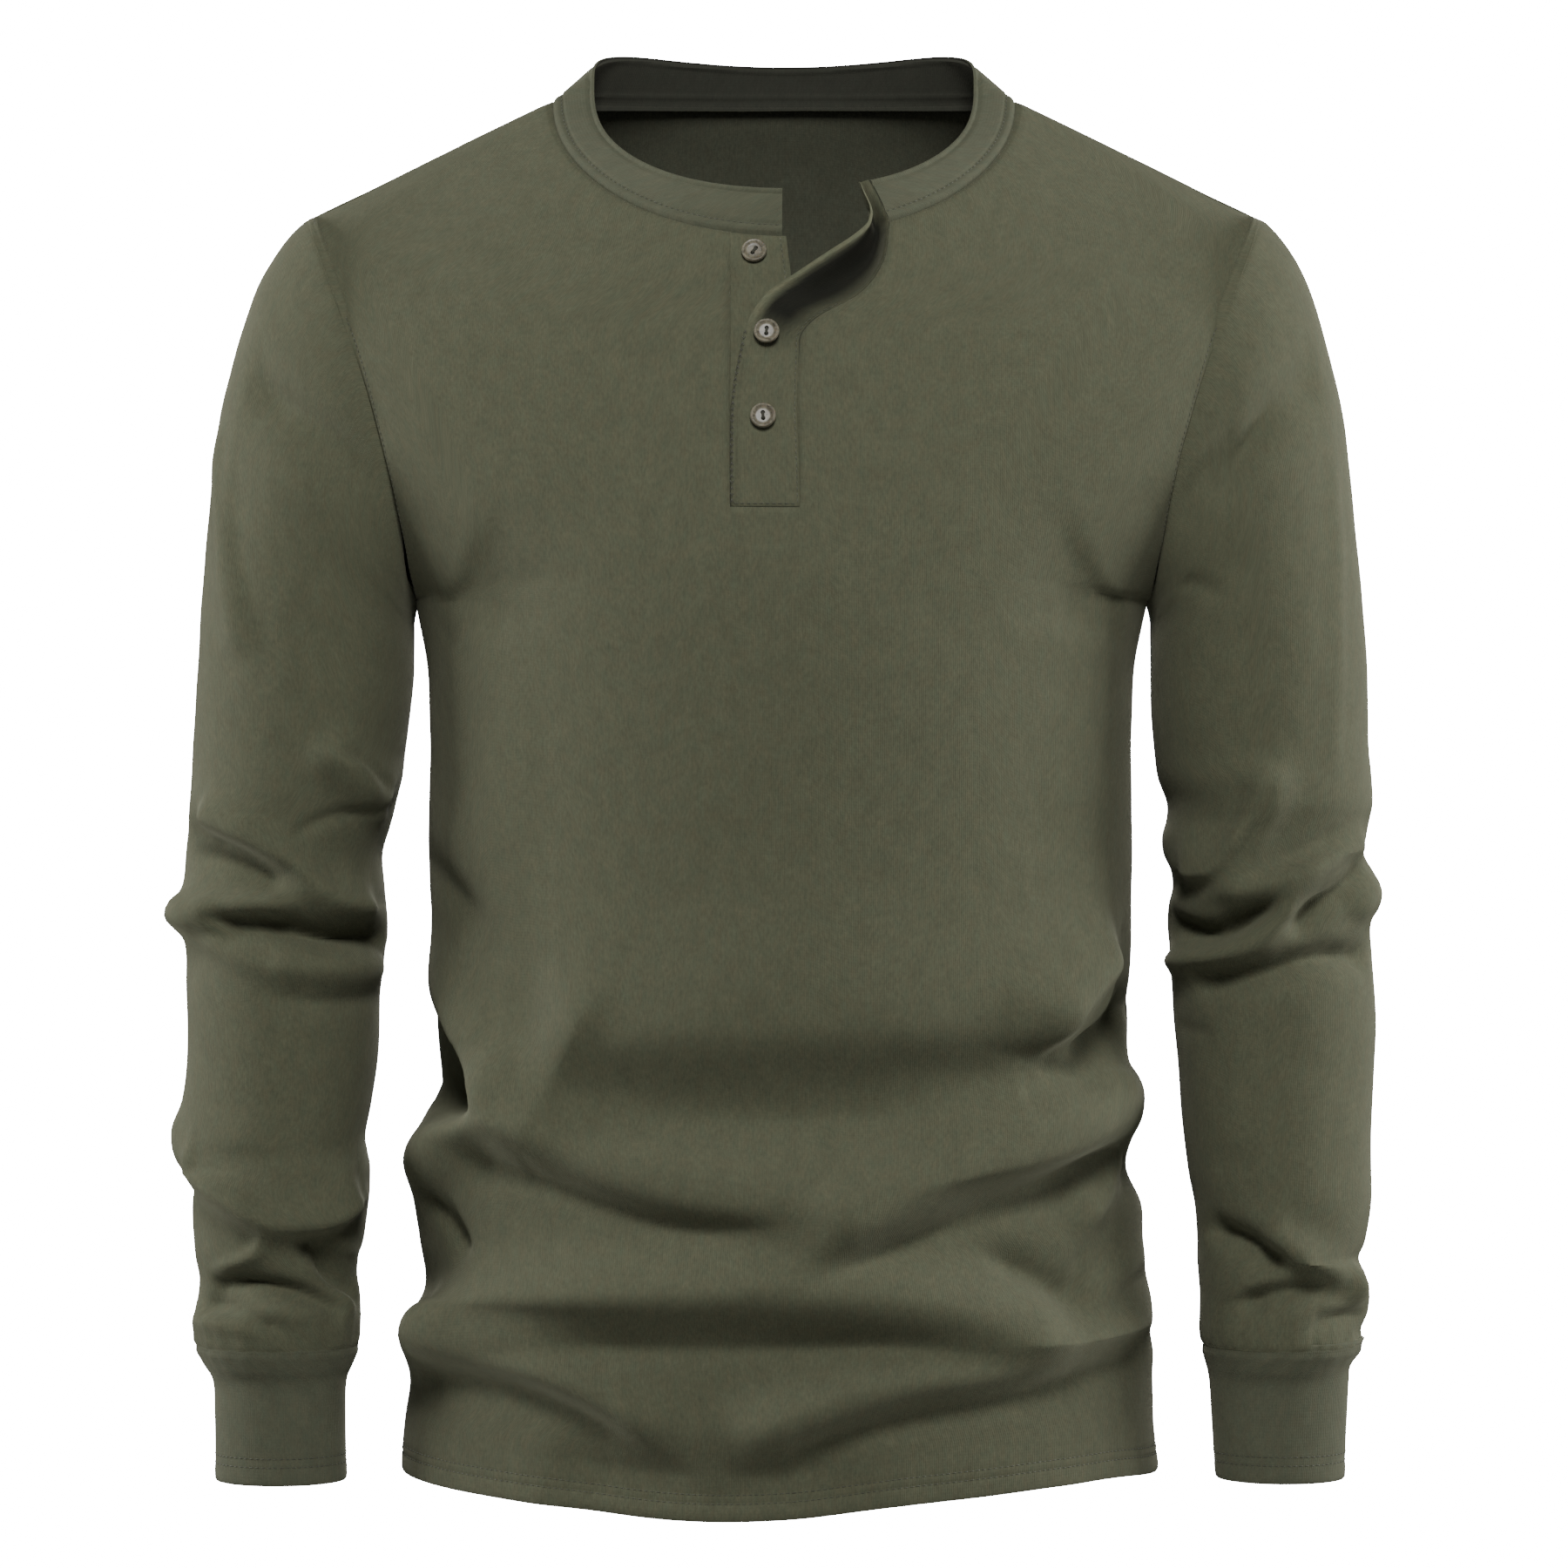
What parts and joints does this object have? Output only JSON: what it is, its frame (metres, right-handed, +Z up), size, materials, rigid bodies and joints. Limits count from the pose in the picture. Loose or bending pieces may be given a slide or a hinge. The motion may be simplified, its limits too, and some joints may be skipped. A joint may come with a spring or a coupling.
{
  "type": "long-sleeve henley t-shirt",
  "caption": "Olive cotton long-sleeve henley in its worn, hollow shape, with a ribbed neckband, a part-open placket turned back at the neck, small horn-look buttons and narrow cuffs",
  "frame": {"origin": "the middle of the neck opening, level with the points where the shoulder seams meet the neckband, where the wearer's neck and shoulders hold the shirt", "axes": "+Z up along the body, the front with its placket faces -Y, +X toward the wearer's left sleeve"},
  "size_m": [0.6236, 0.2633, 0.737],
  "materials": {
    "olive_jersey": "matte cotton jersey, fine knit",
    "olive_rib": "matte cotton rib, fine vertical wales",
    "horn_resin": "satin horn-look resin"
  },
  "bodies": {
    "root": {"front_panel": "olive_jersey", "back_panel": "olive_jersey", "sleeve_left": "olive_jersey", "sleeve_right": "olive_jersey", "cuff_left": "olive_rib", "cuff_right": "olive_rib", "neckband": "olive_rib", "placket_upper": "olive_jersey", "placket_under": "olive_jersey", "button_1": "horn_resin", "button_2": "horn_resin", "button_3": "horn_resin"}
  },
  "joints": []
}
